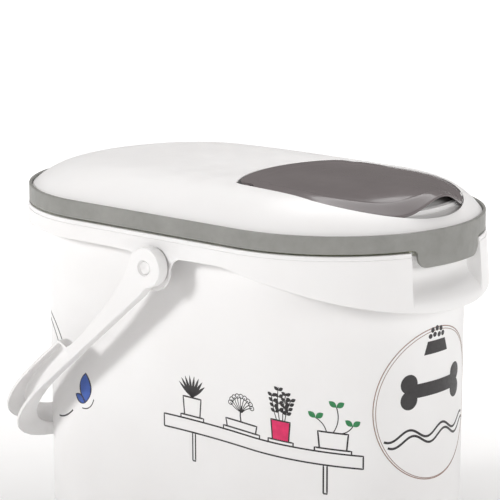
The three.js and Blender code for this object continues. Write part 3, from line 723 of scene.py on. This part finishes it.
# ---- handle ----
def arm_top(u):
    """Upper face of the handle at distance u along it: eye, tapering arm, then the deep grip."""
    start = EYE_R * np.array([math.cos(LEAVE_TOP), math.sin(LEAVE_TOP)])
    pull, neck = np.array([40.0, -2.0]), np.array([GRIP_FROM - 6, ARM_NECK + 0.4])
    t = np.linspace(0, 1, 80)[:, None]
    taper = start * (1 - t) ** 2 + pull * 2 * t * (1 - t) + neck * t * t
    corner_u, corner_w = GRIP_FROM + 2 + GRIP_ROUND, HANDLE_HIGH - GRIP_ROUND
    angle = np.linspace(0.05, math.pi / 2, 40)
    turn = GRIP_ROUND * np.column_stack([-np.cos(angle), np.sin(angle)])
    bend = [corner_u, corner_w] + turn
    curve = np.concatenate([taper, [[GRIP_FROM + 0.6, ARM_NECK + 1.6]], bend, [[400.0, HANDLE_HIGH]]])
    eye = np.sqrt(np.clip(EYE_R ** 2 - u ** 2, 0, None))
    return np.where(u < start[0], eye, np.interp(u, curve[:, 0], curve[:, 1]))


def arm_low(u):
    """Lower face of the handle: the round eye runs into a straight edge."""
    start = EYE_R * np.array([math.cos(LEAVE_LOW), -math.sin(LEAVE_LOW)])
    t = np.linspace(0, 1, 30)[:, None]
    pull, end = np.array([18.0, HANDLE_LOW]), np.array([26.0, HANDLE_LOW])
    run = start * (1 - t) ** 2 + pull * 2 * t * (1 - t) + end * t * t
    eye = -np.sqrt(np.clip(EYE_R ** 2 - u ** 2, 0, None))
    return np.where(u < start[0], eye, np.interp(u, run[:, 0], run[:, 1]))


def handle_path():
    """Inner and outer plan points (u, y) from the right eye round the grip to the left eye."""
    eye = -EYE_R * np.cos(np.radians(np.linspace(2, 60, 22)))
    arm = np.linspace(-9, GRIP_FROM - 1, 44)
    corner = GRIP_FROM + 2 + GRIP_ROUND * (1 - np.cos(np.radians(np.linspace(0, 90, 14))))
    lead = np.concatenate([eye, arm, GRIP_FROM + np.array([0, 0.6, 1.3]), corner, [ARM_END]])
    blend = np.linspace(0, 1, 5)[1:-1]
    straight_in = np.concatenate([lead, ARM_END + (ARCH_IN[0] - ARM_END) * blend])
    straight_out = np.concatenate([lead, ARM_END + (ARCH_OUT[0] - ARM_END) * blend])
    angles = np.radians(np.linspace(90, -90, 121))

    def side(straight, arch, half):
        u = np.concatenate([straight, arch[0] + (arch[1] - arch[0]) * np.cos(angles), straight[::-1]])
        y = np.concatenate([0 * straight - half, -half * np.sin(angles), 0 * straight + half])
        return np.column_stack([u, y])

    return side(straight_in, ARCH_IN, HANDLE_IN), side(straight_out, ARCH_OUT, HANDLE_OUT)


def handle_section(u, thick):
    """Section across the handle: d from its inner face, w up. The grip is an open channel."""
    low, high = arm_low(u), arm_top(u)
    skin_here = np.minimum(GRIP_SKIN, 0.3 * (high - low))
    depth = np.maximum((thick - GRIP_SKIN) * smooth(GRIP_FROM + 4.5, GRIP_FROM + 7.5, u), 0.02)
    top, bottom = high - skin_here, low + skin_here
    web = thick - depth
    return rounded([
        (0 * u, low, 1.6),
        (0 * u, high, 1.6),
        (thick, high, 1.3),
        (thick, top, 0.7),
        (web, top, 1.6),
        (web, bottom, 1.6),
        (thick, bottom, 0.7),
        (thick, low, 1.3),
    ], steps=4)


def handle():
    inner, outer = handle_path()
    across = outer - inner
    thick = np.hypot(*across.T)
    way = across / thick[:, None]
    along = np.array([-math.cos(HANDLE_TILT), 0, -math.sin(HANDLE_TILT)])
    up = np.array([-math.sin(HANDLE_TILT), 0, math.cos(HANDLE_TILT)])
    pivot = np.array([PIVOT_X, 0, RIM_Z + PIVOT_Z])
    lines = []
    for d, w in handle_section((inner[:, 0] + outer[:, 0]) / 2, thick):
        plan = inner + way * d[:, None]
        lines.append(pivot + plan[:, :1] * along + plan[:, 1:] * [0, 1, 0] + w[:, None] * up)
    rings = list(np.stack(lines).transpose(1, 0, 2))
    made = solid(skin(rings))
    at = (PIVOT_X, PIVOT_Z)
    for side in (-1, 1):
        cut(made, rod(PIN_R + GAP, at, side * (HANDLE_IN - 3), side * (HANDLE_OUT + 3)))
        head = HANDLE_OUT - PIN_HEAD
        bore, funnel = PIN_HEAD_R + GAP, PIN_HEAD_R + 1.6
        seat = [(bore, 0), (bore, 0.5), (funnel, 0.68), (funnel, 1)]
        cut(made, turned(seat, at, side * head, side * (head + 5)))
    return new_piece(made, "handle_moulding", WHITE, "handle", ["handle"])


# ---- pins ----
def handle_pin(side):
    """A pin through the handle's eye, with a dished head outside and a snap flange inside."""
    face, inside = HANDLE_OUT - 1.2, LUG_INSIDE - GAP - PIN_FLANGE
    length = face - inside
    seat = (HANDLE_OUT - PIN_HEAD + GAP - inside) / length
    flange = PIN_FLANGE / length
    dished = [(t, PIN_DISH * math.sin(math.pi / 2 * t) ** 2) for t in (0.2, 0.4, 0.6, 0.8, 0.97)]
    dish = [(PIN_HEAD_R * (1 - t), 1 - deep / length) for t, deep in dished]
    profile = [
        (PIN_R + 0.6, 0.0),
        (PIN_R + 1.6, flange),
        (PIN_R, flange),
        (PIN_R, seat),
        (PIN_HEAD_R, seat),
        (PIN_HEAD_R, 1 - 0.5 / length),
        (PIN_HEAD_R - 0.2, 1 - 0.15 / length),
        (PIN_HEAD_R - 0.6, 1.0),
        *dish,
    ]
    return solid(turned(profile, (PIVOT_X, PIVOT_Z), side * inside, side * face, 48))


def pins():
    made = solid(rod(HINGE_PIN_R, (HINGE_X, 0.0), -KNUCKLE_END, KNUCKLE_END, 0.4, 40))
    new_piece(made, "hinge_pin", STEEL, "bin", ["lid_hinge_pin"])
    for name, side in (("right", -1), ("left", 1)):
        pin = solid(rod(HINGE_PIN_R, (FLAP_X, FLAP_Z), side * FLAP_PIN_IN, side * FLAP_PIN_OUT, 0.4, 40))
        new_piece(pin, "flap_pivot_" + name, STEEL, "lid", ["flap_pin_" + name])
        button = handle_pin(side)
        new_piece(button, "handle_button_" + name, WHITE, "bin", ["handle_pin_" + name])


# ---- print on the bucket ----
# The print lies on the wall in a flat chart: s runs round the bucket from the middle of its
# -Y side towards the front, and h is the height above the floor at the middle. The whole
# print sinks a little on its way to the front.
PRINT_LIFT = 0.14  # how far the ink's face stands off the wall
PRINT_DEPTH = 0.1
PRINT_SINK = 15.0  # how far the print has sunk at PRINT_FRONT and beyond
PRINT_FRONT = 212.0
LINE = 1.5  # usual width of a printed line
FRONT_S = SPINE + BUCKET_R * math.pi / 2  # the middle of the front in the chart


def wall_radius(h):
    share = (h - FOOT_ROUND) / (RIM_Z + WALL_TOP - FOOT_ROUND)
    return BUCKET_BASE_R + (BUCKET_R - BUCKET_BASE_R) * share


def on_wall(chart, lift):
    """Places chart points on the bucket, lifted off its wall."""
    s, h = np.asarray(chart, float).T
    h = h - PRINT_SINK * np.clip(s / PRINT_FRONT, 0, 1) ** 2
    r = wall_radius(h) + lift
    beyond = np.sign(s) * np.maximum(np.abs(s) - SPINE, 0) / BUCKET_R
    x = np.clip(s, -SPINE, SPINE) + r * np.sin(beyond)
    return np.column_stack([x, -r * np.cos(beyond), h])


def stroke(points, width=LINE, closed=False):
    """A printed line of one width along chart points, as a thin closed solid."""
    points = np.asarray(points, float)
    if closed:
        way = np.roll(points, -1, axis=0) - np.roll(points, 1, axis=0)
    else:
        way = np.gradient(points, axis=0)
    way /= np.maximum(np.hypot(*way.T), 1e-9)[:, None]
    across = np.column_stack([-way[:, 1], way[:, 0]]) * width / 2
    face, back = PRINT_LIFT, PRINT_LIFT - PRINT_DEPTH
    corners = ((-1, face), (0, face), (1, face), (1, back), (0, back), (-1, back))
    strips = [on_wall(points + across * k, lift) for k, lift in corners]
    return skin(list(np.stack(strips).transpose(1, 0, 2)), wrap=closed)


def blob(outline, lift=PRINT_LIFT):
    """A printed area inside a chart outline, filled in rings round its own centre."""
    outline = line_to(*outline, outline[0])[:-1]
    centre = outline.mean(axis=0)
    inward = [centre + (outline - centre) * t for t in (0.08, 0.35, 0.65, 0.85, 1.0)]
    rings = [on_wall(ring, lift) for ring in inward]
    rings += [on_wall(ring, lift - PRINT_DEPTH) for ring in inward[::-1]]
    return skin(rings)


def line_to(*points, step=2.0):
    """Chart points along straight runs between corners."""
    points = np.asarray(points, float)
    run = [points[:1]]
    for a, b in zip(points[:-1], points[1:]):
        count = max(1, int(np.hypot(*(b - a)) / step))
        run.append(a + (b - a) * np.linspace(0, 1, count + 1)[1:, None])
    return np.concatenate(run)


def oval(centre, radius_s, radius_h, start=0.0, end=360.0, steps=48, tilt=0.0):
    angle = np.radians(np.linspace(start, end, steps, endpoint=abs(end - start) < 360))
    across, up = radius_s * np.cos(angle), radius_h * np.sin(angle)
    c, s = math.cos(math.radians(tilt)), math.sin(math.radians(tilt))
    return np.column_stack([centre[0] + across * c - up * s, centre[1] + across * s + up * c])


def arc_between(start, end, bulge, steps=14):
    """A gentle arc between two chart points, bulging to the left of the way."""
    start, end = np.array(start, float), np.array(end, float)
    way = end - start
    side = np.array([-way[1], way[0]])
    t = np.linspace(0, 1, steps)[:, None]
    return start + way * t + side * bulge * 4 * t * (1 - t)


def leaf(base, tip, width=0.28):
    """Outline of a pointed leaf."""
    return np.concatenate([arc_between(base, tip, width), arc_between(tip, base, width)[1:-1]])


class Print:
    """Collects printed shapes of one ink and joins them into one piece."""

    def __init__(self, colour):
        self.colour = colour
        self.surfaces = []

    def add(self, *surfaces):
        self.surfaces += surfaces

    def finish(self):
        points, faces, count = [], [], 0
        for surface_points, surface_faces in self.surfaces:
            points.append(surface_points)
            faces += [[count + i for i in face] for face in surface_faces]
            count += len(surface_points)
        made = solid((np.concatenate(points), faces))
        new_piece(made, "print_" + self.colour, INKS[self.colour], "bin")


def box_line(centre, half, low, high):
    """The outline of an upright box in the chart."""
    left, right = centre - half, centre + half
    return stroke(line_to((left, low), (right, low), (right, high), (left, high), (left, low)))


def pot(prints, centre, base, width, height, fill=None):
    """A plain pot on a saucer, in outline or filled."""
    half, top = width / 2, base + height
    prints["dark"].add(box_line(centre, half + 3, base, base + 3.5))
    body = [(1.5 - half, base + 3.5), (-half, top), (half, top), (half - 1.5, base + 3.5)]
    prints["dark"].add(stroke(line_to(*[(centre + x, h) for x, h in body])))
    if fill:
        prints[fill].add(blob([(centre + 0.93 * x, base + 0.6 + (h - base) * 0.94) for x, h in body]))
    return top


def spiky_plant(dark, centre, base):
    for angle in range(-70, 71, 20):
        lean = math.radians(angle)
        tip = (centre + 17 * math.sin(lean), base + 19 * math.cos(lean) ** 0.5 + 2)
        dark.add(blob(leaf((centre, base), tip, 0.07)))


def bushy_plant(dark, centre, base):
    dark.add(stroke(arc_between((centre, base), (centre + 1, base + 15), 0.1)))
    for k in range(9):
        angle = math.radians(20 * k + 10)
        end = (centre + 13 * math.cos(angle), base + 14 + 10 * math.sin(angle))
        dark.add(stroke(arc_between((centre + 1, base + 9), end, 0.08), 0.8))
        dark.add(stroke(oval(end, 2.4, 2.0, steps=16), 0.8, closed=True))


def tall_plant(dark, centre, base):
    for lean in (-9, -2, 6, 11):
        top = (centre + lean, base + 33 - abs(lean))
        dark.add(stroke(arc_between((centre + 0.4 * lean, base), top, 0.04), 0.8))
        for share in (0.3, 0.5, 0.7, 0.9):
            for side in (-1, 1):
                x, h = centre + lean * (0.4 + 0.6 * share), base + (33 - abs(lean)) * share
                dark.add(blob(leaf((x, h), (x + 4.5 * side, h + 3), 0.3)))


def sprout(prints, centre, base):
    for x, top, lean in ((-12, 12, -4), (0, 24, 3), (13, 8, 5)):
        tip = (centre + x + lean, base + top)
        prints["dark"].add(stroke(arc_between((centre + 0.5 * x, base), tip, -0.12), 0.9))
        for side in (-1, 1):
            prints["green"].add(blob(leaf(tip, (tip[0] + 7 * side, tip[1] + 5), 0.3)))


def shelf_picture(prints):
    """A long plain shelf on two posts with four pots."""
    dark = prints["dark"]
    top, thick, post = 203.0, 12.0, 27.0
    dark.add(box_line(104, 108, top - thick, top))
    for x in (33, 177):
        dark.add(box_line(x, 1.7, top - thick - post, top - thick))
    spiky_plant(dark, 31, pot(prints, 31, top, 22, 21))
    bushy_plant(dark, 91, pot(prints, 91, top, 37, 11))
    tall_plant(dark, 134.5, pot(prints, 134.5, top, 19, 22, "magenta"))
    sprout(prints, 184, pot(prints, 184, top, 28, 19))


def badge(prints):
    """A round badge at the front: bowl, bone and a wavy flourish in a double ring."""
    middle, height = FRONT_S, 228.0 + PRINT_SINK
    for shift, radius, width in ((0.0, 71.0, 1.0), (0.8, 69.2, 0.7)):
        ring = oval((middle + shift, height - shift), radius, radius, steps=160)
        prints["brown"].add(stroke(ring, width, closed=True))
    dark = prints["dark"]
    bowl = height + 47
    dark.add(blob([(middle + x, bowl + h) for x, h in ((-17, 0), (17, 0), (12.5, 12), (-12.5, 12))]))
    heap = ((-9, 16.5), (-3, 17.5), (3.4, 16.8), (9, 17), (-6, 22), (0.2, 23), (6, 22))
    for k, (x, up) in enumerate(heap):
        dark.add(blob(oval((middle + x, bowl + up), 2.6, 2.3, steps=18, tilt=20 * k)))
    bone(dark, (middle, height + 15), 84, 13)
    for drop, shift in ((-25, 0.0), (-31, 4.0)):
        s = np.linspace(-60, 60, 120)
        wave = height + drop + 4.5 * np.sin(s / 7)
        dark.add(stroke(np.column_stack([middle + s + shift, wave]), 2.2))


def bone(dark, centre, length, width):
    """A plain bone: a thick shaft with two round knobs at each end."""
    half = length / 2
    shaft = line_to((centre[0] - half + 8, centre[1]), (centre[0] + half - 8, centre[1]))
    dark.add(stroke(shaft, width))
    for side in (-1, 1):
        for up in (-1, 1):
            knob = (centre[0] + side * (half - 8), centre[1] + up * 7.5)
            dark.add(blob(oval(knob, 9.5, 9.0), PRINT_LIFT + 0.01))


def flying_leaf(prints):
    """A small blue leaf pair with a dark outline, near the handle."""
    root = (-107.0, 195.0)
    for tip in ((-105.0, 224.0), (-120.0, 201.0)):
        outline = leaf(root, tip, 0.26)
        prints["blue"].add(blob(outline))
        prints["dark"].add(stroke(outline, 1.6, closed=True))
    dark = prints["dark"]
    dark.add(stroke(arc_between((-111, 189), (-95, 200), -0.2), 1.0))
    dark.add(stroke(arc_between((-156, 172), (-126, 184), -0.08)))
    for lift in (0, 7):
        dark.add(stroke(arc_between((-187, 262 + lift), (-150 + lift, 240 + lift), 0.12)))


def print_on_bucket():
    prints = {colour: Print(colour) for colour in INKS}
    shelf_picture(prints)
    badge(prints)
    flying_leaf(prints)
    for one in prints.values():
        one.finish()


# ---- set, lights and camera ----
def paper():
    """Pale studio paper with a painted glow: its emission rises with distance from the bin and stands in
    for a backdrop lit from behind.
    """
    made = Nodes("paper")
    made.colours(made.noise(3.0, 2.0), (0.74, 0.735, 0.73), (0.77, 0.765, 0.76))
    made.roughness(made.noise(8.0, 2.0), 0.8, 0.9)
    # painted glow: the paper gives off light of its own, from none at 0.3 m from the bin's middle to
    # full at 1.5 m; this whitens the far floor and throws light back onto the bin
    away = made.tree.nodes.new("ShaderNodeVectorMath")
    away.operation = "LENGTH"
    made.link(made.place, away.inputs[0])
    glow = made.tree.nodes.new("ShaderNodeMapRange")
    for name, value in (("From Min", 0.3), ("From Max", 1.5), ("To Min", 0.0), ("To Max", 1.0)):
        glow.inputs[name].default_value = value
    made.link(away.outputs["Value"], glow.inputs["Value"])
    made.link(glow.outputs["Result"], made.shader.inputs["Emission Strength"])
    made.shader.inputs["Emission Color"].default_value = (1.0, 1.0, 1.0, 1.0)
    return made.material


def studio():
    reach = (-6000, 6000)
    made = solid(block(reach, reach, (-RIM_Z - 20, -RIM_Z)), "floor")
    made.data.materials.append(paper())
    world = bpy.data.worlds.new("studio")
    world.use_nodes = True
    world.node_tree.nodes["Background"].inputs["Color"].default_value = (1.0, 0.93, 0.9, 1.0)
    world.node_tree.nodes["Background"].inputs["Strength"].default_value = 0.15
    bpy.context.scene.world = world
    bpy.context.scene.view_settings.view_transform = "Standard"


def softbox(name, position, target, size, power):
    """An even rectangular light at a position in metres, turned towards the target."""
    light = bpy.data.lights.new(name, "AREA")
    light.shape = "RECTANGLE"
    light.size, light.size_y = size
    light.energy = power
    lamp = bpy.data.objects.new(name, light)
    lamp.location = position
    lamp.rotation_mode = "QUATERNION"
    lamp.rotation_quaternion = (Vector(target) - Vector(position)).to_track_quat("-Z", "Y")
    bpy.context.scene.collection.objects.link(lamp)


def lights():
    middle = (0.0, 0.0, 0.25)
    softbox("key", (-0.75, -2.0, 1.15), middle, (0.4, 0.4), 27)
    softbox("front fill", (2.2, 0.0, 0.9), middle, (0.9, 0.9), 18)
    softbox("top", (-0.2, 0.6, 1.9), middle, (1.4, 1.4), 27)


def camera():
    """A long lens from the front right, a little above the rim."""
    azimuth, elevation, distance = math.radians(40.96), math.radians(12.02), 2.7
    middle = Vector((0.118, -0.1394, RIM_Z * MM))
    level_back = Vector((math.sin(azimuth), -math.cos(azimuth), 0.0)) * math.cos(elevation)
    back = level_back + Vector((0.0, 0.0, math.sin(elevation)))
    data = bpy.data.cameras.new("camera")
    data.sensor_width = 36.0
    data.lens = 218.95
    eye = bpy.data.objects.new("camera", data)
    eye.location = middle + back * distance
    eye.rotation_mode = "QUATERNION"
    eye.rotation_quaternion = (-back).to_track_quat("-Z", "Y")
    bpy.context.scene.collection.objects.link(eye)
    bpy.context.scene.camera = eye


bucket()
collar()
lid_rim()
lid_seal()
lid_shell()
flap()
handle()
pins()
print_on_bucket()
studio()
lights()
camera()
